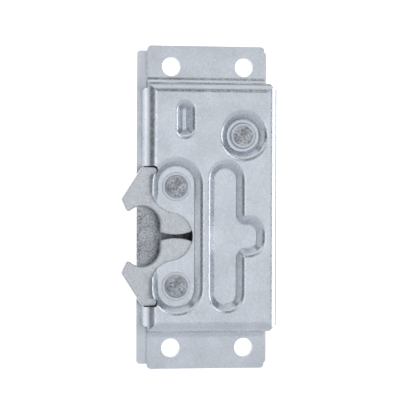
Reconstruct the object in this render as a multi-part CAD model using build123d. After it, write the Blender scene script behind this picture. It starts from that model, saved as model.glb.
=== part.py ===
from build123d import *
from math import acos, asin, atan2, cos, degrees, hypot, radians, sin, tan
import os

# A twin-jaw door latch of zinc-plated steel, upright, seen from the front as it sits on a door's edge.
# Units are millimetres. X is to the right, Z is up and the front faces -Y.
# The origin is the centre of the four-bolt pattern, on the back plate's rear face.
# "Depth" below is the distance forward of that face, so a depth of 5 lies at Y = -5.

# Bolt pattern
bolt_pitch_x = 26.6
bolt_pitch_z = 101.6
bolt_hole_d = 6.75

# Sheet thicknesses, and the thickness of the hardened inner parts
plate_t = 2.0
cover_t = 1.6
jaw_t = 5.0
lever_t = 2.5

# Outline of the back plate
plate_left = -25.5
plate_height = 113.2
plate_corner_r = 1.1

# Outline of the pressed cover: the box, its two flanges and its folds
box_left = -23.95
box_right = 23.45
box_height = 88.6
box_rise = 13.5
flange_left = -21.95
flange_right = 20.8
flange_height = 116.7
flange_corner_r = 1.4
bend_r = 3.65
throat_bend_r = 4.5
flange_bend_r = 2.6
side_wall_height = 84.0
side_wall_chamfer_z = 2.6
side_wall_chamfer_depth = 2.4
skirt_overlap = 1.7
corner_relief = 1.1

# Recesses pressed into the cover
recess_depth = 2.5
recess_draft = 45.0
recess_rim_r = 2.4
recess_floor_r = 0.6

# Pivots: the two jaws lie either side of the throat's centreline
mid_z = -10.35
jaw_pitch = 35.3
jaw_x = -12.65
release_x = 11.1
release_z = 25.5

# Floors of the recesses, before their edges are rounded
track_floor_r = 6.45
track_overrun = 0.75
bar_x = 4.9
bar_half_width = 3.85
bar_length = 48.2
nose_x = 16.1
nose_half_height = 4.25
nose_corner_r = 3.2
bar_armpit_r = 3.4
dish_floor_r = 5.75
dimple_x = -9.8
dimple_z = 31.2
dimple_half_width = 0.7
dimple_length = 7.6

# Throat in the cover for the striker pin
throat_x = -15.45
jaw_lip_r = 9.1
heel_slot_x = -20.75
heel_slot_height = 3.1
heel_slot_top = 14.6

# Jaws: their pocket, arm, heel and the notch that the lock catches
jaw_close_deg = 32.0
pocket_r = 6.6
arm_r = 17.1
hub_r = 7.5
tip_deg = 142.0
jaw_corner_x = -19.15
jaw_corner_z = -4.5
heel_x = -11.64
heel_end_x = -6.4
heel_corner_r = 1.5
tooth_r = 15.5
tooth_back_deg = -5.0
tooth_root_deg = 18.0
jaw_edge_r = 0.45

# Lock slider and the stroke that frees the jaws
slider_stroke = 3.2
finger_z = 6.3
finger_t = 3.2
finger_tip = 11.9
finger_length = 4.2
bar_t = 4.0
lobe_length = 7.9
lobe_height = 5.35
lobe_gap = 2.4
stem_half_height = 3.0
guide_pin_d = 3.0
guide_collar_d = 4.6
guide_wall = 1.65
stud_d = 4.0

# Release lever, with a tab for a pull rod
lever_boss_r = 7.0
lever_top_half_width = 4.5
lever_low_half_width = 3.2
lever_length = 60.0
tab_height = 9.0
tab_reach = 11.0
tab_bend_r = 1.0
rod_hole_d = 4.2
lever_clear = 1.9

# Bushes, rivets and springs
bush_step_d = 12.0
bush_d = 9.0
shank_d = 7.0
rivet_head_d = 12.0
rivet_head_t = 1.8
jaw_tail_r = 4.0
jaw_ring_r = 5.1
release_tail_r = 4.45
tail_rise = 1.1
ring_rise = 0.3
spacer_d = 13.0
jaw_wire_d = 1.4
coil_gap = 0.2
jaw_leg_deg = 100.0
jaw_leg = 8.2
jaw_anchor_leg = 9.5
release_wire_d = 1.3
release_leg_deg = 240.0
post_d = 3.6
post_x = -10.3
post_z = 30.3
tenon_d = 2.6
tenon_head_d = 4.6
tenon_head_t = 0.7

# Clearances
running = 0.05
hole_clear = 0.05
side_play = 0.1
face_play = 0.3
finger_play = 0.15
coil_play = 0.25
sheet_gap = 0.05

# Depths of the layers, worked out from the sheets and the rise of the box
flange_front = plate_t + cover_t
face_front = flange_front + box_rise
face_back = face_front - cover_t
floor_front = face_front - recess_depth
floor_back = floor_front - cover_t
jaw_front = floor_back - face_play
jaw_back = jaw_front - jaw_t
fold_depth = flange_front + flange_bend_r
lever_back = plate_t + lever_clear
lever_front = lever_back + lever_t

# Places worked out from the values above
upper_z = mid_z + jaw_pitch / 2
plate_right = box_right - cover_t - sheet_gap
half_box = box_height / 2
half_side = side_wall_height / 2
far = 200.0


def layer(depth):
    """Plane parallel to the back plate, at a depth, seen from the front."""
    return Plane(origin=(0, -depth, 0), x_dir=(1, 0, 0), z_dir=(0, -1, 0))


def slab(outline, back, front):
    """An outline in X and Z, cut from sheet that lies between two depths."""
    return extrude(layer(back) * outline, amount=front - back)


def rect(left, right, low, high):
    """A rectangle by its four sides."""
    return Pos((left + right) / 2, (low + high) / 2) * Rectangle(right - left, high - low)


def disc(x, z, diameter):
    return Pos(x, z) * Circle(diameter / 2)


def polar(centre, radius, angle):
    """A point on a circle, its angle in degrees anticlockwise from +X."""
    return (centre[0] + radius * cos(radians(angle)), centre[1] + radius * sin(radians(angle)))


def turn(point, angle):
    """A point turned anticlockwise about the origin."""
    return polar((0, 0), hypot(*point), degrees(atan2(point[1], point[0])) + angle)


def arc(centre, radius, start, end):
    """A circular edge between two angles."""
    middle = (start + end) / 2
    return ThreePointArc(polar(centre, radius, start), polar(centre, radius, middle), polar(centre, radius, end))


def filled(*lines):
    """A face inside a closed run of lines and arcs."""
    return make_face([edge for line in lines for edge in line.edges()])


def across(shape):
    """The same shape on the other side of the throat's centreline."""
    return mirror(shape, about=Plane(origin=(0, 0, mid_z), z_dir=(0, 0, 1)))


def front_edges(solid):
    return solid.edges().group_by(Axis.Y)[0]


def lathe(points, x, z):
    """A turned piece from (radius, depth) points, its axis along Y through (x, z)."""
    profile = make_face(Polyline([(radius, -depth) for radius, depth in points], close=True).edges())
    return Pos(x, 0, z) * revolve(profile, Axis.Y)


def bolt_holes():
    holes = Sketch() + GridLocations(bolt_pitch_x, bolt_pitch_z, 2, 2) * Circle(bolt_hole_d / 2)
    return slab(holes, -1, face_front)


# Cover

def flange_fold():
    """The top flange with its rounded fold into the box's top wall."""
    wall = half_box
    centre = (-fold_depth, wall + flange_bend_r)
    top = flange_height / 2
    section = filled(
        Polyline((-plate_t, centre[1]), (-plate_t, top), (-flange_front, top), (-flange_front, centre[1])),
        arc(centre, flange_bend_r, 0, -90),
        Line((-fold_depth, wall), (-fold_depth, wall - cover_t)),
        arc(centre, flange_bend_r + cover_t, -90, 0),
    )
    fold = extrude(Plane.YZ.offset(flange_left) * section, amount=flange_right - flange_left)
    corners = fold.edges().filter_by(Axis.Y).group_by(Axis.Z)[-1]
    return fillet(corners, flange_corner_r)


def corner_cut(box_x, flange_x):
    """Relief at the box's top corner, where the sheet was notched before folding."""
    outward = 1 if box_x > flange_x else -1
    edge_x = box_x - outward * corner_relief
    past = box_x + outward
    face = Polyline((flange_x, half_box + 1), (flange_x, half_box), (edge_x, half_side + cover_t / 8),
                    (past, half_side), (past, half_box + 1), close=True)
    walls = rect(min(flange_x, past), max(flange_x, past), half_side, half_box + 1)
    return slab(filled(face), -1, face_front + 1) + slab(walls, -1, face_front - bend_r)


def bent_box(inset, back):
    """A solid of the box's outer shape, or of its inside if inset is the sheet's thickness."""
    left, right, half, front = box_left + inset, box_right - inset, half_box - inset, face_front - inset
    plan = Polyline((left, -back), (left, -front), (right, -front), (right, -back), close=True)
    plan = make_face(plan.edges())
    plan = fillet(plan.vertices().group_by(Axis.Y)[0].sort_by(Axis.X)[0], throat_bend_r - inset)
    plan = fillet(plan.vertices().group_by(Axis.Y)[0].sort_by(Axis.X)[-1], bend_r - inset)
    side = Polyline((-back, -half), (-front, -half), (-front, half), (-back, half), close=True)
    side = make_face(side.edges())
    side = fillet(side.vertices().group_by(Axis.X)[0], bend_r - inset)
    across_z = extrude(Plane.XY.offset(-half) * plan, amount=2 * half)
    across_x = extrude(Plane.YZ.offset(left) * side, amount=right - left)
    return across_z & across_x


def tray():
    """The box of the cover: the face and four walls, hollow behind, with open corners."""
    skirt = plate_t - skirt_overlap
    shell = bent_box(0, skirt) - bent_box(cover_t, skirt - 1)
    shell -= slab(rect(box_left - 1, box_right - cover_t, -half_box - 1, half_box + 1), -1, plate_t)
    for side in (1, -1):
        wall = rect(box_left - 1, box_right + 1, half_side + cover_t / 4, half_box + 1)
        wall_cut = slab(wall, -1, fold_depth)
        relief = corner_cut(box_right, flange_right) + corner_cut(box_left, flange_left)
        chamfer = extrude(Plane.YZ.offset(box_left - 1) * filled(Polyline(
            (-plate_t, half_side + 1), (-plate_t - side_wall_chamfer_depth, half_side + 1),
            (-plate_t - side_wall_chamfer_depth, half_side), (-plate_t, half_side - side_wall_chamfer_z),
            close=True)), amount=cover_t + 1 + sheet_gap)
        cut = wall_cut + relief + chamfer
        shell -= cut if side == 1 else mirror(cut, about=Plane.XY)
    return shell


def bar_outline(grow):
    """The T-shaped recess's floor: an upright bar with a nose at the lock slider's stem."""
    half = bar_half_width + grow
    end_z = mid_z + bar_length / 2 - bar_half_width
    nose_end = nose_x + grow
    nose_top = mid_z + nose_half_height + grow
    corner = nose_corner_r + grow
    armpit = (bar_x + bar_half_width + bar_armpit_r, mid_z + nose_half_height + bar_armpit_r)
    upper = [
        arc((bar_x, end_z), half, 180, 0),
        Line((bar_x + half, end_z), (bar_x + half, armpit[1])),
        arc(armpit, bar_armpit_r - grow, 180, 270),
        Line((armpit[0], nose_top), (nose_end - corner, nose_top)),
        arc((nose_end - corner, nose_top - corner), corner, 90, 0),
    ]
    mirror_line = Plane(origin=(0, mid_z, 0), z_dir=(0, 1, 0))
    lower = [mirror(line, about=mirror_line) for line in upper]
    left = Line((bar_x - half, end_z), (bar_x - half, 2 * mid_z - end_z))
    right = Line((nose_end, nose_top - corner), (nose_end, 2 * mid_z - nose_top + corner))
    return filled(*upper, *lower, left, right)


def recess_floors(grow):
    """Outlines of the four recess floors, grown by a distance."""
    track_length = jaw_pitch + 2 * track_overrun + 2 * (track_floor_r + grow)
    track = Pos(jaw_x, mid_z) * Rot(0, 0, 90) * SlotOverall(track_length, 2 * (track_floor_r + grow))
    dish = Pos(release_x, release_z) * Circle(dish_floor_r + grow)
    dimple = Pos(dimple_x, dimple_z) * Rot(0, 0, 90) * SlotOverall(
        dimple_length + 2 * grow, 2 * (dimple_half_width + grow))
    return [track, bar_outline(grow), dish, dimple]


def pressed(floor, floor_depth, rise, floor_radius):
    """A recess as a solid: its floor, rounded at the edge, and walls that lean outwards."""
    form = extrude(layer(floor_depth) * floor, amount=rise, taper=-recess_draft)
    floor_edges = form.edges().group_by(Axis.Y)[-1]
    return fillet(floor_edges, floor_radius)


def recess_cut():
    """What the recesses take out of the cover's front, with a rounded rim."""
    block = slab(rect(-far, far, -far, far), face_front, face_front + 1)
    for floor in recess_floors(0):
        block += pressed(floor, floor_front, recess_depth + cover_t / 4, recess_floor_r)
    rims = [e for e in block.edges() if abs(e.center().Y + face_front) < 0.01 and e.center().length < far / 2]
    return fillet(rims, recess_rim_r)


def recess_backs():
    """The sheet pushed in behind the recesses, as thick as the rest."""
    lean = radians(recess_draft)
    grow = cover_t * (1 / cos(lean) - tan(lean))
    return [pressed(floor, floor_back, recess_depth + cover_t / 4, recess_floor_r + cover_t)
            for floor in recess_floors(grow)]


def throat_outline():
    """Cut-out for the striker: a round end, an S-curve past each pivot and a slot for each jaw's heel."""
    pivot = (jaw_x, upper_z)
    end = (throat_x, mid_z)
    span = hypot(pivot[0] - end[0], pivot[1] - end[1])
    rise = degrees(atan2(pivot[1] - end[1], pivot[0] - end[0]))
    lip_x = jaw_x - jaw_lip_r
    slot_bottom = heel_slot_top - heel_slot_height
    slot_z = heel_slot_top - heel_slot_height / 2
    upper = [
        Line((-far, heel_slot_top), (heel_slot_x, heel_slot_top)),
        arc((heel_slot_x, slot_z), heel_slot_height / 2, 90, -90),
        Polyline((heel_slot_x, slot_bottom), (lip_x, slot_bottom), (lip_x, upper_z)),
        arc(pivot, jaw_lip_r, 180, 180 + rise),
        arc(end, span - jaw_lip_r, rise, 0),
    ]
    mirror_line = Plane(origin=(0, mid_z, 0), z_dir=(0, 1, 0))
    lower = [mirror(line, about=mirror_line) for line in upper]
    left = Line((-far, heel_slot_top), (-far, 2 * mid_z - heel_slot_top))
    return filled(*upper, *lower, left)


def front_cover():
    cover = tray() + flange_fold() + mirror(flange_fold(), about=Plane.XY)
    for back in recess_backs():
        cover += back
    cover -= recess_cut()
    cover -= slab(throat_outline(), plate_t, face_front + 1)
    cover -= bolt_holes()
    for x, z in pivots():
        cover -= slab(disc(x, z, shank_d + 2 * hole_clear), floor_back - 1, face_front)
    return cover


def pivots():
    return [(jaw_x, upper_z), (jaw_x, 2 * mid_z - upper_z), (release_x, release_z)]


# Back plate

def back_plate():
    """Flat plate with the bolt holes, the pivot holes and a window for the lever's tab."""
    half = plate_height / 2
    outline = rect(plate_left, plate_right, -half, half)
    outline = fillet(outline.vertices(), plate_corner_r)
    plate = slab(outline, 0, plate_t) - bolt_holes()
    for x, z in pivots():
        plate -= slab(disc(x, z, shank_d + 2 * hole_clear), -1, plate_t + 1)
    for x, z in tenons():
        plate -= slab(disc(x, z, tenon_d + 2 * hole_clear), -1, plate_t + 1)
    for anchor in spring_anchors():
        plate -= slab(disc(*anchor, jaw_wire_d + 4 * hole_clear + face_play), -1, plate_t + 1)
    return plate - tab_window()


def spring_anchors():
    """Where the jaw springs' fixed legs end, hooked into the back plate."""
    upper = (jaw_x + jaw_coil_r(), upper_z - jaw_anchor_leg)
    return [upper, (upper[0], 2 * mid_z - upper[1])]


def tenons():
    return [guide_place(), (guide_place()[0], 2 * mid_z - guide_place()[1]), (post_x, post_z)]


def tab_window():
    """Window that the lever's tab sweeps, with room all round."""
    z_middle = release_z - (lever_length - tab_height / 2)
    shut = tab_left(-lever_half_swing())
    pulled = tab_left(lever_half_swing()) + lever_t
    window = rect(shut - face_play * 2, pulled + face_play * 2,
                  z_middle - tab_height / 2 - 1, z_middle + tab_height / 2 + 1)
    return slab(fillet(window.vertices(), plate_corner_r), -1, plate_t + 1)


# Jaws

def jaw_outline():
    """The upper jaw about its own pivot, as it stands open."""
    shut_pocket = (throat_x - jaw_x, mid_z - upper_z)
    pocket = turn(shut_pocket, -jaw_close_deg)
    pocket_side = pocket[0] + pocket_r
    inner_deg = -degrees(acos(pocket_side / arm_r))
    tip = polar(pocket, pocket_r, tip_deg)
    heel_top = heel_slot_top - side_play - upper_z
    heel_deg = 180 - degrees(asin(hub_height() / hub_r))

    slot_root = finger_tip - face_play
    slot_low = -finger_z - finger_t / 2 - finger_play * 2
    slot_high = -finger_z + finger_t / 2 + finger_play
    lip_deg = -degrees(asin(-slot_low / arm_r))
    flank_deg = -degrees(asin(-slot_high / tooth_r))
    notch = [polar((0, 0), arm_r, lip_deg), (slot_root, slot_low), (slot_root, slot_high),
             polar((0, 0), tooth_r, flank_deg)]
    tooth_end = polar((0, 0), tooth_r, tooth_back_deg)
    tooth_root = polar((0, 0), hub_r, tooth_root_deg)
    opened = [turn(point, -jaw_close_deg) for point in notch]
    return filled(
        Polyline(tip, (jaw_corner_x, jaw_corner_z), (heel_x, heel_top), (heel_end_x - heel_corner_r, heel_top)),
        arc((heel_end_x - heel_corner_r, heel_top - heel_corner_r), heel_corner_r, 90, 0),
        Line((heel_end_x, heel_top - heel_corner_r), (heel_end_x, hub_height())),
        arc((0, 0), hub_r, heel_deg, tooth_root_deg - jaw_close_deg),
        Line(turn(tooth_root, -jaw_close_deg), turn(tooth_end, -jaw_close_deg)),
        arc((0, 0), tooth_r, tooth_back_deg - jaw_close_deg, flank_deg - jaw_close_deg),
        Polyline(opened[3], opened[2], opened[1], opened[0]),
        arc((0, 0), arm_r, lip_deg - jaw_close_deg, inner_deg),
        Line(polar((0, 0), arm_r, inner_deg), (pocket_side, pocket[1])),
        arc(pocket, pocket_r, 0, tip_deg),
    )


def hub_height():
    """Height above the pivot at which the heel's end meets the round hub."""
    return (hub_r ** 2 - heel_end_x ** 2) ** 0.5


def upper_jaw():
    outline = jaw_outline()
    corners = [v for v in outline.vertices() if v.X < heel_x + 0.1]
    outline = fillet(corners, 2 * jaw_edge_r)
    jaw = slab(Pos(jaw_x, upper_z) * outline, jaw_back, jaw_front)
    jaw = fillet(front_edges(jaw), jaw_edge_r)
    jaw -= slab(disc(jaw_x, upper_z, bush_d + 2 * running), 0, face_front)
    hook = jaw_hook()
    hook_hole = disc(*hook, jaw_wire_d + 2 * face_play)
    return jaw - slab(hook_hole, 0, jaw_back + jaw_t / 2)


def jaw_hook():
    """Where the upper jaw spring's moving leg hooks into the jaw."""
    start = polar((jaw_x, upper_z), jaw_coil_r(), jaw_leg_deg)
    return polar(start, jaw_leg, jaw_leg_deg + 90)


# Lock slider

def body_left():
    """Left side of the slider's bar, drawn out as it stands at rest."""
    return jaw_x + finger_tip + finger_length + slider_stroke


def guide_place():
    """Centre of the upper guide pin."""
    lobe_left = body_left() + bar_t - bar_t - lobe_length
    z = upper_z + lobe_gap + lobe_height / 2
    return (lobe_left + guide_wall + guide_pin_d / 2 + side_play / 2, z)


def lock_slider():
    """Plate with a stem, two fingers for the jaws and a slotted lobe at each end."""
    left = body_left()
    right = left + bar_t
    tip = jaw_x + finger_tip + slider_stroke
    finger_mid = upper_z - finger_z
    lobe_low = upper_z + lobe_gap
    lobe_high = lobe_low + lobe_height
    stem_end = release_x + slider_stroke / 2
    stem = stem_half_height
    upper = filled(
        Polyline((stem_end, mid_z + stem), (right, mid_z + stem), (right, lobe_high),
                 (left - lobe_length, lobe_high), (left - lobe_length, lobe_low), (left, lobe_low),
                 (left, finger_mid + finger_t / 2), (tip, finger_mid + finger_t / 2),
                 (tip, finger_mid - finger_t / 2), (left, finger_mid - finger_t / 2), (left, mid_z),
                 (stem_end + stem, mid_z)),
        arc((stem_end, mid_z), stem, 0, 90),
    )
    corners = [v for v in upper.vertices() if v.Y > mid_z + stem + 0.1]
    upper = fillet(corners, 0.5)
    half = slab(upper, jaw_back, jaw_front)
    slider = half + across(half)
    slider = chamfer(front_edges(slider), 0.3)
    slot_length = slider_stroke + guide_pin_d + side_play
    pin_x, pin_z = guide_place()
    for z in (pin_z, 2 * mid_z - pin_z):
        slot = Pos(pin_x + slider_stroke / 2, z) * SlotOverall(slot_length, guide_pin_d + side_play)
        slider -= slab(slot, 0, face_front)
    return slider - slab(disc(*stud_place(), stud_d + 2 * hole_clear), 0, face_front)


def stud_place():
    """The stud stands as far to the right of the lever's pivot as it ends to the left of it."""
    return (release_x + slider_stroke / 2, mid_z)


def slider_stud():
    stud = slab(disc(*stud_place(), stud_d), lever_back - face_play, jaw_front - face_play)
    return chamfer(stud.edges().group_by(Axis.Y)[-1], 0.4)


def upper_guide_pin():
    """Pin with a collar that carries the slider, riveted into the back plate."""
    shaft = guide_pin_d / 2
    return lathe([(0, -tenon_head_t), (tenon_head_d / 2, -tenon_head_t), (tenon_head_d / 2, 0),
                  (tenon_d / 2, 0), (tenon_d / 2, plate_t), (guide_collar_d / 2, plate_t),
                  (guide_collar_d / 2, jaw_back - side_play), (shaft, jaw_back - side_play),
                  (shaft, floor_back - side_play), (0, floor_back - side_play)], *guide_place())


# Release lever

def lever_half_swing():
    """Half of the lever's swing in degrees, from the slider's stroke and the stud's distance."""
    return degrees(atan2(slider_stroke / 2, release_z - mid_z))


def tab_left(lean):
    """Left face of the lever's tab, in X, with the lever leaning by an angle."""
    tab_z = -(lever_length - tab_height / 2)
    return release_x + turn((lever_low_half_width, tab_z), lean)[0]


def release_lever():
    """Lever that hangs from the third pivot: a boss, a tapered arm and a tab bent back through the plate."""
    low = -lever_length
    stud_drop = release_z - mid_z
    arm = filled(Polyline((-lever_top_half_width, 0), (-lever_low_half_width, -stud_drop),
                          (-lever_low_half_width, low), (lever_low_half_width, low),
                          (lever_low_half_width, -stud_drop), (lever_top_half_width, 0), close=True))
    ends = [v for v in arm.vertices() if v.Y < low + 0.1 and v.X < 0]
    outline = fillet(ends, 2.0) + Circle(lever_boss_r)
    lever = slab(outline, lever_back, lever_front)
    outer_r = tab_bend_r + lever_t
    fold = (lever_low_half_width - tab_bend_r, -(lever_back - tab_bend_r))
    edge_x = lever_low_half_width
    section = filled(
        Line((fold[0], -lever_front), (fold[0], -lever_back)),
        arc(fold, tab_bend_r, -90, 0),
        Polyline((edge_x, fold[1]), (edge_x, tab_reach), (edge_x + lever_t, tab_reach), (edge_x + lever_t, fold[1])),
        arc(fold, outer_r, 0, -90),
    )
    tab = extrude(Plane.XY.offset(low) * section, amount=tab_height)
    lever += tab
    lever = fillet(lever.edges().filter_by(Axis.X).group_by(Axis.Y)[-1], 2.0)
    rod_hole = Pos(edge_x, tab_reach - rod_hole_d, low + tab_height / 2) * Rot(0, 90, 0) * Cylinder(
        rod_hole_d / 2, 4 * lever_t)
    slot = Pos(0, -stud_drop) * Rot(0, 0, 90) * SlotOverall(stud_d + 1, stud_d + 2 * side_play)
    lever -= slab(slot, 0, face_front) + slab(Circle(bush_d / 2 + running), 0, face_front) + rod_hole
    return Pos(release_x, 0, release_z) * Rot(0, -lever_half_swing(), 0) * lever


def release_spacer():
    """Tube on the release bush that keeps the lever down."""
    ring = Circle(spacer_d / 2) - Circle(bush_d / 2 + running)
    return slab(Pos(release_x, release_z) * ring, lever_front + side_play, floor_back - side_play)


# Bushes and rivets

def bush(x, z, step_depth):
    """Stepped sleeve between the back plate and the cover's recess."""
    bore = shank_d / 2 + hole_clear
    return lathe([(bore, plate_t), (bush_step_d / 2, plate_t), (bush_step_d / 2, step_depth),
                  (bush_d / 2, step_depth), (bush_d / 2, floor_back), (bore, floor_back)], x, z)


def rivet(x, z, tail_r, ring_r):
    """Pivot rivet: a flat head behind the plate and a peened tail in the cover's recess."""
    tail = floor_front + tail_rise
    ring = floor_front + ring_rise
    body = lathe([(0, -rivet_head_t), (rivet_head_d / 2 - 0.8, -rivet_head_t), (rivet_head_d / 2, -1.0),
                  (rivet_head_d / 2, 0), (shank_d / 2, 0), (shank_d / 2, floor_front), (ring_r, floor_front),
                  (ring_r - ring_rise / 2, ring), (tail_r + ring_rise / 2, ring), (tail_r, ring + 0.2),
                  (tail_r, tail), (0, tail)], x, z)
    crown = body.edges().group_by(Axis.Y)[0]
    return fillet(crown, 0.4)


# Springs and their post

def jaw_coil_r():
    return bush_step_d / 2 + coil_play + jaw_wire_d / 2


def wire_end(foot, way, leg, hook, bend):
    """A straight leg from a coil's end and, unless hook is None, a bend towards that depth."""
    corner = foot + way * leg
    if hook is None:
        return Line(foot, corner)
    return FilletPolyline(foot, corner, Vector(corner.X, corner.Y, hook), radius=bend)


def torsion_spring(x, z, coil_r, wire_d, rear, front, start, sweep_deg, legs, hooks):
    """A coil about (x, z) whose wire climbs steadily from a depth to another, legs included.

    start is the angle of the rear end and sweep_deg the turn from there to the front end,
    anticlockwise if positive. legs and hooks give each leg's length and each hook's depth.
    """
    coil_length = radians(abs(sweep_deg)) * coil_r
    slope = (front - rear) / (coil_length + sum(legs))
    steps = 2 * round(abs(sweep_deg) / 90)
    points = []
    for n in range(steps + 1):
        place = polar((x, z), coil_r, start + sweep_deg * n / steps)
        points.append(Vector(*place, rear + slope * (legs[0] + coil_length * n / steps)))
    turns = [ThreePointArc(*points[n:n + 3]) for n in range(0, steps, 2)]
    first = wire_end(turns[0] @ 0, (turns[0] % 0) * -1, legs[0], hooks[0], wire_d)
    last = wire_end(turns[-1] @ 1, turns[-1] % 1, legs[1], hooks[1], wire_d)
    path = Wire([edge for line in (first, *turns, last) for edge in line.edges()])
    section = Plane(origin=path @ 0, z_dir=path % 0) * Circle(wire_d / 2)
    return layer(0) * sweep(section, path=path)


def jaw_spring(side):
    """Spring of the upper jaw, or of the lower one if side is -1."""
    rear = plate_t + side_play + jaw_wire_d / 2
    front = jaw_back - side_play - jaw_wire_d / 2
    turns = int((front - rear) / (jaw_wire_d + coil_gap))
    return torsion_spring(jaw_x, mid_z + side * jaw_pitch / 2, jaw_coil_r(), jaw_wire_d, rear, front, 0,
                          side * (360 * turns + jaw_leg_deg), (jaw_anchor_leg, jaw_leg),
                          (plate_t / 4, jaw_back + jaw_t / 4))


def release_spring():
    """Spring that turns the lever so that the slider moves in, its fixed leg on the post."""
    coil_r = spacer_d / 2 + coil_play + release_wire_d / 2
    rear = lever_front + side_play + release_wire_d / 2
    front = floor_back - face_play * 1.5 - release_wire_d / 2
    offset_to_post = post_d / 2 + release_wire_d / 2 + side_play
    dx = post_x - release_x
    dz = post_z - release_z
    distance = hypot(dx, dz)
    end_deg = degrees(atan2(dz, dx)) + degrees(acos((coil_r + offset_to_post) / distance))
    sweep_deg = -(release_leg_deg - end_deg + 720)
    fixed_leg = (distance ** 2 - (coil_r + offset_to_post) ** 2) ** 0.5 + post_d / 2
    return torsion_spring(release_x, release_z, coil_r, release_wire_d, rear, front, release_leg_deg,
                          sweep_deg, (moving_leg(coil_r), fixed_leg), (lever_back, None))


def moving_leg(coil_r):
    """Length of the release spring's moving leg, to just past the lever arm's right edge."""
    foot = polar((release_x, release_z), coil_r, release_leg_deg)
    lean = radians(lever_half_swing())
    arm_slope = (lever_top_half_width - lever_low_half_width) / (release_z - mid_z)
    edge = lever_top_half_width + release_wire_d / 2 + side_play
    down = sin(radians(release_leg_deg + 90))
    right = cos(radians(release_leg_deg + 90))
    drop = release_z - foot[1]
    gap = edge + (tan(lean) - arm_slope) * drop - (foot[0] - release_x)
    return gap / (right + (tan(lean) - arm_slope) * down)


def spring_post():
    return lathe([(0, -tenon_head_t), (tenon_head_d / 2, -tenon_head_t), (tenon_head_d / 2, 0),
                  (tenon_d / 2, 0), (tenon_d / 2, plate_t), (post_d / 2, plate_t),
                  (post_d / 2, floor_back - side_play), (0, floor_back - side_play)], post_x, post_z)


def all_pieces():
    """Every piece by name, in place."""
    jaw_step = jaw_back - side_play
    pieces = {
        "front_cover": front_cover(),
        "back_plate": back_plate(),
        "upper_jaw": upper_jaw(),
        "upper_jaw_bush": bush(jaw_x, upper_z, jaw_step),
        "upper_jaw_rivet": rivet(jaw_x, upper_z, jaw_tail_r, jaw_ring_r),
        "upper_guide_pin": upper_guide_pin(),
        "lock_slider": lock_slider(),
        "slider_stud": slider_stud(),
        "release_lever": release_lever(),
        "release_bush": bush(release_x, release_z, lever_back - side_play),
        "release_spacer": release_spacer(),
        "release_rivet": rivet(release_x, release_z, release_tail_r, release_tail_r + ring_rise),
        "release_spring": release_spring(),
        "spring_post": spring_post(),
    }
    for name in [name for name in pieces if name.startswith("upper_")]:
        pieces[name.replace("upper_", "lower_")] = across(pieces[name])
    pieces["upper_jaw_spring"] = jaw_spring(1)
    pieces["lower_jaw_spring"] = jaw_spring(-1)
    return pieces


os.makedirs("parts", exist_ok=True)
for name, piece in all_pieces().items():
    export_step(piece, f"parts/{name}.step")
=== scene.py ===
import math

import bpy
from mathutils import Matrix, Vector


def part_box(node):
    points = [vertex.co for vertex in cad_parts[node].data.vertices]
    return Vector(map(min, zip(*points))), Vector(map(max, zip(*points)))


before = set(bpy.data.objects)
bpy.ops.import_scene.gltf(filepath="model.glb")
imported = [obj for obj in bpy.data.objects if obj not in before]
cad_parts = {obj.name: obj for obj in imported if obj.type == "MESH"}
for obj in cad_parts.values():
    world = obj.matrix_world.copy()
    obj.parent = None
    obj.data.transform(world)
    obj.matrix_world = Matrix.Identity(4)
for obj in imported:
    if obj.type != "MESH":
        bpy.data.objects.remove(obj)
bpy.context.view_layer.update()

# Lengths are in metres
MM = 0.001

# Base colours of the metals
COVER_GREY = (0.565, 0.60, 0.655)
PLATE_GREY = (0.62, 0.655, 0.705)
JAW_GREY = (0.54, 0.565, 0.605)
PEENED_GREY = (0.50, 0.525, 0.57)
PIT_GREY = (0.15, 0.155, 0.165)
INNER_GREY = (0.55, 0.57, 0.60)
GREASED_GREY = (0.17, 0.17, 0.175)
SPRING_GREY = (0.30, 0.30, 0.31)

# Zinc plating: widths of its grain, clouds, gloss patches and ripple
FINE_GRAIN = 0.36 * MM
JAW_GRAIN = 0.42 * MM
COARSE_GRAIN = 0.50 * MM
CLOUD_WIDTH = 9 * MM
GLOSS_WIDTH = 1.3 * MM
RIPPLE_WIDTH = 7 * MM
RIPPLE_DEPTH = 0.04 * MM
SPECK_SHADE = 0.58

# Spring wire: its oil smears and drawn lines
SMEAR_WIDTH = 2.2 * MM
LINE_WIDTH = 0.25 * MM
LINE_DEPTH = 0.01 * MM

# Painted shade on the plate in the throat, where the jaws and the cover's left wall shade it. Its places
# across count from the plate's left edge.
SHADE_MIDDLE = 8 * MM
SHADE_CORE = 8 * MM
SHADE_REACH = 13 * MM
SHADE_STRETCH = 0.62
SHADE_LIGHT_TO = 5 * MM
SHADE_DARK_FROM = 16 * MM
SHADE_PITS = 0.6 * MM
# Band of darker painted shade, broken up by pits, along the plate's left edge where the cover's left wall
# shades it
RIM_CORE = 1.0 * MM
RIM_REACH = 2.2 * MM

# Rivet tails, peened over on the front. Their worn colour ends between the two depths.
TAIL_RADIUS = 3.9 * MM
TAIL_RIM = 0.86
TAIL_FRONT = -7 * MM
TAIL_BACK = -5 * MM
RING_PITCH = 0.55 * MM
RING_DEPTH = 0.012 * MM
HAMMER_MARKS = 0.8 * MM
HAMMER_DEPTH = 0.09 * MM
TAIL_PITS = 0.75 * MM
PIT_DEPTH = 0.13 * MM
BLOTCH_WIDTH = 2.6 * MM
DOME_POWER = 2.5
JAW_RIVET_DOME = 0.75 * MM
RELEASE_RIVET_DOME = 0.15 * MM


# Materials

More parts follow.
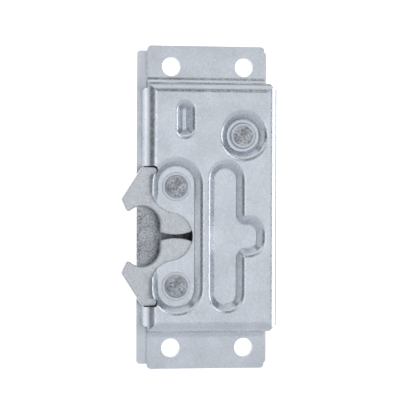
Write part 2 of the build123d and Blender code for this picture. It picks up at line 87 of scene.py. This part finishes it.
class Finish:
    """A metal whose nodes are added one by one, with patterns on Object coordinates."""

    def __init__(self, name, roughness):
        self.material = bpy.data.materials.new(name)
        self.material.use_nodes = True
        self.tree = self.material.node_tree
        self.shader = self.tree.nodes["Principled BSDF"]
        self.shader.inputs["Metallic"].default_value = 1.0
        self.shader.inputs["Roughness"].default_value = roughness
        self.place = self.tree.nodes.new("ShaderNodeTexCoord").outputs["Object"]

    def node(self, kind, inputs=None, **settings):
        made = self.tree.nodes.new(kind)
        for name, value in settings.items():
            setattr(made, name, value)
        for name, value in (inputs or {}).items():
            if isinstance(value, bpy.types.NodeSocket):
                self.tree.links.new(value, made.inputs[name])
            else:
                made.inputs[name].default_value = value
        return made

    def axes(self):
        """Object coordinates as separate X, Y and Z."""
        return self.node("ShaderNodeSeparateXYZ", {0: self.place}).outputs

    def moved(self, centre, scale=(1, 1, 1)):
        """Object coordinates counted from a centre, and stretched."""
        shift = tuple(-c * s for c, s in zip(centre, scale))
        inputs = {"Vector": self.place, "Location": shift, "Scale": scale}
        return self.node("ShaderNodeMapping", inputs).outputs[0]

    def distance(self, place):
        """How far a moved place is from its centre."""
        return self.node("ShaderNodeVectorMath", {0: place}, operation="LENGTH").outputs["Value"]

    def compute(self, operation, first, second=0.0):
        """One sum. An operation on one value leaves the second unused."""
        return self.node("ShaderNodeMath", {0: first, 1: second}, operation=operation).outputs[0]

    def noise(self, size, detail=2.0, place=None, rough=0.5):
        """Noise with blotches about as wide as size."""
        inputs = {"Vector": place or self.place, "Scale": 1 / size, "Detail": detail, "Roughness": rough}
        return self.node("ShaderNodeTexNoise", inputs).outputs[0]

    def cells(self, size):
        """Rounded dents about as wide as size."""
        inputs = {"Vector": self.place, "Scale": 1 / size}
        return self.node("ShaderNodeTexVoronoi", inputs).outputs["Distance"]

    def spread(self, value, low, high, to_low=0.0, to_high=1.0):
        """A value stretched from one range to another, and held there."""
        inputs = {"Value": value, "From Min": low, "From Max": high, "To Min": to_low, "To Max": to_high}
        return self.node("ShaderNodeMapRange", inputs).outputs[0]

    def blend(self, share, first, second):
        """The first colour where share is 0, and the second where it is 1."""
        made = self.node("ShaderNodeMix", data_type="RGBA")
        for socket, value in ((made.inputs[0], share), (made.inputs[6], first), (made.inputs[7], second)):
            if isinstance(value, bpy.types.NodeSocket):
                self.tree.links.new(value, socket)
            elif isinstance(value, tuple):
                socket.default_value = (*value, 1.0)
            else:
                socket.default_value = value
        return made.outputs[2]

    def bump(self, height, depth, under=None):
        """Relief of a real depth, laid over another relief if one is given."""
        inputs = {"Height": height, "Distance": depth, "Strength": 1.0}
        if under is not None:
            inputs["Normal"] = under
        return self.node("ShaderNodeBump", inputs).outputs[0]

    def wear(self, color, roughness, normal):
        for name, value in (("Base Color", color), ("Roughness", roughness), ("Normal", normal)):
            self.tree.links.new(value, self.shader.inputs[name])
        return self.material


def shade(grey, factor):
    return tuple(c * factor for c in grey)


def middle(node):
    low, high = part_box(node)
    return tuple((low + high) / 2)


def zinc_plate(name, grey, roughness, grain, grain_depth, specks=0.45, mottle=0.07, overlay=None):
    """Clear zinc plating on steel: fine sandy grain, cloudy tone and a faint ripple in the sheet."""
    finish = Finish(name, roughness)
    cloud = finish.spread(finish.noise(CLOUD_WIDTH, 3.0), 0.35, 0.65)
    speckle = finish.noise(grain, 2.0, rough=0.6)
    tone = finish.blend(cloud, shade(grey, 1 - mottle), shade(grey, 1 + mottle / 2))
    tone = finish.blend(finish.spread(speckle, 0.56, 0.74, 0.0, specks), tone, shade(grey, SPECK_SHADE))
    # An overlay can paint shade on the tone, as the plate's throat shade does
    if overlay is not None:
        tone = overlay(finish, tone)
    patches = finish.noise(GLOSS_WIDTH, 3.0)
    gloss = finish.spread(patches, 0.3, 0.7, roughness - 0.05, roughness + 0.07)
    ripple = finish.bump(finish.noise(RIPPLE_WIDTH, 1.0), RIPPLE_DEPTH)
    return finish.wear(tone, gloss, finish.bump(speckle, grain_depth, ripple))


def throat_shade(finish, tone):
    """Painted shade on the plate's front, where the jaws and the cover's left wall shade it: dull in the
    throat, darker inwards towards the slider, with dark painted pits at the left edge.
    """
    left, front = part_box("back_plate")[0].xy
    throat_z = (middle("upper_jaw")[2] + middle("lower_jaw")[2]) / 2
    axes = finish.axes()
    on_front = finish.spread(axes["Y"], front + 0.8 * MM, front + 0.1 * MM)
    place = finish.moved((left + SHADE_MIDDLE, 0.0, throat_z), (SHADE_STRETCH, 0.0, 1.0))
    near = finish.spread(finish.distance(place), SHADE_REACH, SHADE_CORE)
    shaded = finish.compute("MULTIPLY", near, on_front)
    pits = finish.spread(finish.noise(SHADE_PITS, 3.0, rough=0.7), 0.44, 0.60)
    # Painted shade: lighter near the left edge, darkest inwards towards the jaws, and darker still on the
    # pits
    inward = finish.spread(axes["X"], left + SHADE_LIGHT_TO, left + SHADE_DARK_FROM)
    smooth = finish.blend(inward, shade(PLATE_GREY, 0.74), shade(PLATE_GREY, 0.20))
    rough = finish.blend(inward, shade(PLATE_GREY, 0.40), shade(PLATE_GREY, 0.08))
    tone = finish.blend(shaded, tone, finish.blend(pits, smooth, rough))
    # Painted shade along the left edge, where the cover's left wall shades the plate, laid on the pits
    rim = finish.spread(axes["X"], left + RIM_REACH, left + RIM_CORE, 0.0, 0.9)
    rim_shade = finish.compute("MULTIPLY", finish.compute("MULTIPLY", pits, rim), shaded)
    return finish.blend(rim_shade, tone, shade(PLATE_GREY, 0.25))


def peened_tone(finish, on_tail, pits, place):
    """Blotched and pitted on the tail, plain zinc beside and behind it."""
    blotch = finish.spread(finish.noise(BLOTCH_WIDTH, 3.0, place), 0.42, 0.66)
    overlay = finish.blend(blotch, shade(PEENED_GREY, 1.10), shade(PEENED_GREY, 0.62))
    overlay = finish.blend(finish.spread(pits, 0.46, 0.60, 0.0, 0.90), overlay, PIT_GREY)
    return finish.blend(on_tail, COVER_GREY, overlay)


def peened_relief(finish, from_axis, pits, dome):
    """A dome with fine rings from the spinning tool, hammer marks and pits."""
    fall = finish.compute("POWER", finish.spread(from_axis, 0.0, TAIL_RADIUS), DOME_POWER)
    domed = finish.bump(finish.spread(fall, 0.0, 1.0, 1.0, 0.0), dome)
    rings = finish.compute("SINE", finish.compute("MULTIPLY", from_axis, 2 * math.pi / RING_PITCH))
    ringed = finish.bump(rings, RING_DEPTH, domed)
    hammered = finish.bump(finish.cells(HAMMER_MARKS), HAMMER_DEPTH, ringed)
    return finish.bump(pits, PIT_DEPTH, hammered)


def peened_rivet(name, rivet, dome):
    """A rivet whose tail was spun down: domed, with a rough, blotched face and a smoother rim."""
    centre = middle(rivet)
    finish = Finish(name, 0.45)
    place = finish.moved(centre)
    from_axis = finish.distance(finish.moved(centre, (1.0, 0.0, 1.0)))
    inside = finish.spread(from_axis, TAIL_RADIUS, TAIL_RADIUS * TAIL_RIM)
    on_front = finish.spread(finish.axes()["Y"], TAIL_BACK, TAIL_FRONT)
    on_tail = finish.compute("MULTIPLY", inside, on_front)
    pits = finish.noise(TAIL_PITS, 4.0, rough=0.75)
    gloss = finish.spread(on_tail, 0.0, 1.0, 0.3, 0.38)
    tone = peened_tone(finish, on_tail, pits, place)
    return finish.wear(tone, gloss, peened_relief(finish, from_axis, pits, dome))


def spring_wire(name):
    """Drawn wire, darker than the plating, with fine lines and a trace of oil."""
    finish = Finish(name, 0.3)
    smear = finish.spread(finish.noise(SMEAR_WIDTH, 3.0), 0.35, 0.7)
    tone = finish.blend(smear, SPRING_GREY, shade(SPRING_GREY, 1.5))
    gloss = finish.spread(smear, 0.0, 1.0, 0.24, 0.42)
    return finish.wear(tone, gloss, finish.bump(finish.noise(LINE_WIDTH), LINE_DEPTH))


def dress(material, *nodes):
    for node in nodes:
        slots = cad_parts[node].data.materials
        slots.clear()
        slots.append(material)


def dress_latch():
    cover = zinc_plate("cover_zinc", COVER_GREY, 0.27, FINE_GRAIN, 0.011 * MM, specks=0.28)
    # The plate's overlay paints shade in the throat, where the jaws and the cover's left wall shade it
    plate = zinc_plate("plate_zinc", PLATE_GREY, 0.32, COARSE_GRAIN, 0.045 * MM,
                       mottle=0.10, overlay=throat_shade)
    jaw = zinc_plate("jaw_zinc", JAW_GREY, 0.28, JAW_GRAIN, 0.065 * MM, specks=1.0)
    inner = zinc_plate("inner_zinc", INNER_GREY, 0.38, COARSE_GRAIN, 0.035 * MM)
    greased = zinc_plate("greased_steel", GREASED_GREY, 0.33, COARSE_GRAIN, 0.020 * MM, mottle=0.25)
    wire = spring_wire("spring_steel")
    dress(cover, "front_cover")
    dress(plate, "back_plate")
    dress(jaw, "upper_jaw", "lower_jaw")
    dress(inner, "upper_jaw_bush", "lower_jaw_bush", "release_bush", "release_spacer")
    dress(inner, "upper_guide_pin", "lower_guide_pin", "release_lever", "spring_post")
    dress(greased, "lock_slider", "slider_stud")
    dress(wire, "upper_jaw_spring", "lower_jaw_spring", "release_spring")
    for side in ("upper", "lower"):
        rivet = f"{side}_jaw_rivet"
        dress(peened_rivet(f"{side}_rivet_steel", rivet, JAW_RIVET_DOME), rivet)
    dress(peened_rivet("release_rivet_steel", "release_rivet", RELEASE_RIVET_DOME), "release_rivet")


# Studio: the backdrop's sizes, and how strongly it glows

FLOOR_Z = -0.25
FLOOR_FRONT = -8.0
WALL_Y = 1.6
WALL_TOP = 3.0
BEND_RADIUS = 0.5
BEND_STEPS = 12
HALF_WIDTH = 9.0
GLOW_IN_FRONT = 0.13
GLOW_BEHIND = 0.80
GLOW_ASIDE = 0.52


def soft_box(name, azimuth, elevation, distance, width, height, radiance):
    """A soft rectangular light facing the object. Azimuth 0 is in front of the cover, +90 to its right."""
    a = math.radians(azimuth)
    e = math.radians(elevation)
    way = Vector((math.sin(a) * math.cos(e), -math.cos(a) * math.cos(e), math.sin(e)))
    lamp = bpy.data.lights.new(name, "AREA")
    lamp.shape = "RECTANGLE"
    lamp.size = width
    lamp.size_y = height
    lamp.energy = radiance * math.pi * width * height
    light = bpy.data.objects.new(name, lamp)
    light.location = way * distance
    light.rotation_euler = way.to_track_quat("Z", "Y").to_euler()
    light.visible_camera = False
    bpy.context.scene.collection.objects.link(light)


def sweep_line():
    """The backdrop seen from its end, as (y, z): floor, quarter bend, wall."""
    bend_y = WALL_Y - BEND_RADIUS
    line = [(FLOOR_FRONT, FLOOR_Z), (bend_y, FLOOR_Z)]
    for n in range(1, BEND_STEPS + 1):
        turn = math.radians(90 * n / BEND_STEPS)
        line.append((bend_y + BEND_RADIUS * math.sin(turn), FLOOR_Z + BEND_RADIUS * (1 - math.cos(turn))))
    return line + [(WALL_Y, WALL_TOP)]


def pale_paper():
    """Matt paper that glows: most behind the latch, less in front of it and far to its sides."""
    paper = Finish("paper", 0.9)
    paper.shader.inputs["Metallic"].default_value = 0.0
    paper.shader.inputs["Base Color"].default_value = (0.74, 0.75, 0.77, 1.0)
    paper.shader.inputs["Emission Color"].default_value = (1.0, 1.0, 1.0, 1.0)
    axes = paper.axes()
    behind = paper.spread(axes["Y"], -0.1, 0.9, GLOW_IN_FRONT, GLOW_BEHIND)
    aside = paper.spread(paper.compute("ABSOLUTE", axes["X"]), 0.30, 0.90, 1.0, GLOW_ASIDE)
    glow = paper.compute("MULTIPLY", behind, aside)
    paper.tree.links.new(glow, paper.shader.inputs["Emission Strength"])
    return paper.material


def backdrop():
    """A white sweep: pale floor in front that rises into the wall behind."""
    line = sweep_line()
    verts = [(x, y, z) for y, z in line for x in (-HALF_WIDTH, HALF_WIDTH)]
    faces = [(2 * n, 2 * n + 1, 2 * n + 3, 2 * n + 2) for n in range(len(line) - 1)]
    mesh = bpy.data.meshes.new("backdrop")
    mesh.from_pydata(verts, [], faces)
    for face in mesh.polygons:
        face.use_smooth = True
    mesh.materials.append(pale_paper())
    sweep = bpy.data.objects.new("backdrop", mesh)
    bpy.context.scene.collection.objects.link(sweep)


def studio():
    backdrop()
    soft_box("near_box", -16, 2, 1.0, 0.30, 0.42, 1.45)
    soft_box("front_box", 22, 2, 1.0, 1.15, 0.42, 0.90)
    soft_box("right_box", 88, 2, 1.0, 0.80, 0.60, 2.35)
    soft_box("left_box", -108, 14, 1.0, 1.50, 1.15, 0.72)
    soft_box("high_box", 35, 27, 1.0, 0.60, 0.30, 2.0)
    soft_box("high_left_box", -35, 29, 1.0, 0.70, 0.36, 1.1)
    soft_box("top_box", 10, 74, 0.9, 1.30, 0.90, 0.85)
    world = bpy.data.worlds.new("studio")
    world.use_nodes = True
    sky = world.node_tree.nodes["Background"]
    sky.inputs["Color"].default_value = (0.95, 0.98, 1.0, 1.0)
    sky.inputs["Strength"].default_value = 0.20
    bpy.context.scene.world = world
    bpy.context.scene.view_settings.view_transform = "Standard"


# Camera, on the photograph's line of sight

YAW = -7.8
ROLL = 0.155
AIM = Vector((0.0, -0.0036, 0.0))
DISTANCE = 0.5652
LENS_MM = 135.07
IMAGE_WIDTH = 416
SHIFT_RIGHT = 0.59
SHIFT_UP = -0.7


def camera():
    lens = bpy.data.cameras.new("camera")
    lens.lens = LENS_MM
    lens.shift_x = SHIFT_RIGHT / IMAGE_WIDTH
    lens.shift_y = SHIFT_UP / IMAGE_WIDTH
    eye = bpy.data.objects.new("camera", lens)
    level = Matrix.Rotation(math.radians(90), 4, "X")
    turn = Matrix.Rotation(math.radians(YAW), 4, "Z") @ level
    back = turn @ Vector((0.0, 0.0, DISTANCE))
    roll = Matrix.Rotation(math.radians(ROLL), 4, "Z")
    eye.matrix_world = Matrix.Translation(AIM + back) @ turn @ roll
    bpy.context.scene.collection.objects.link(eye)
    bpy.context.scene.camera = eye


dress_latch()
studio()
camera()
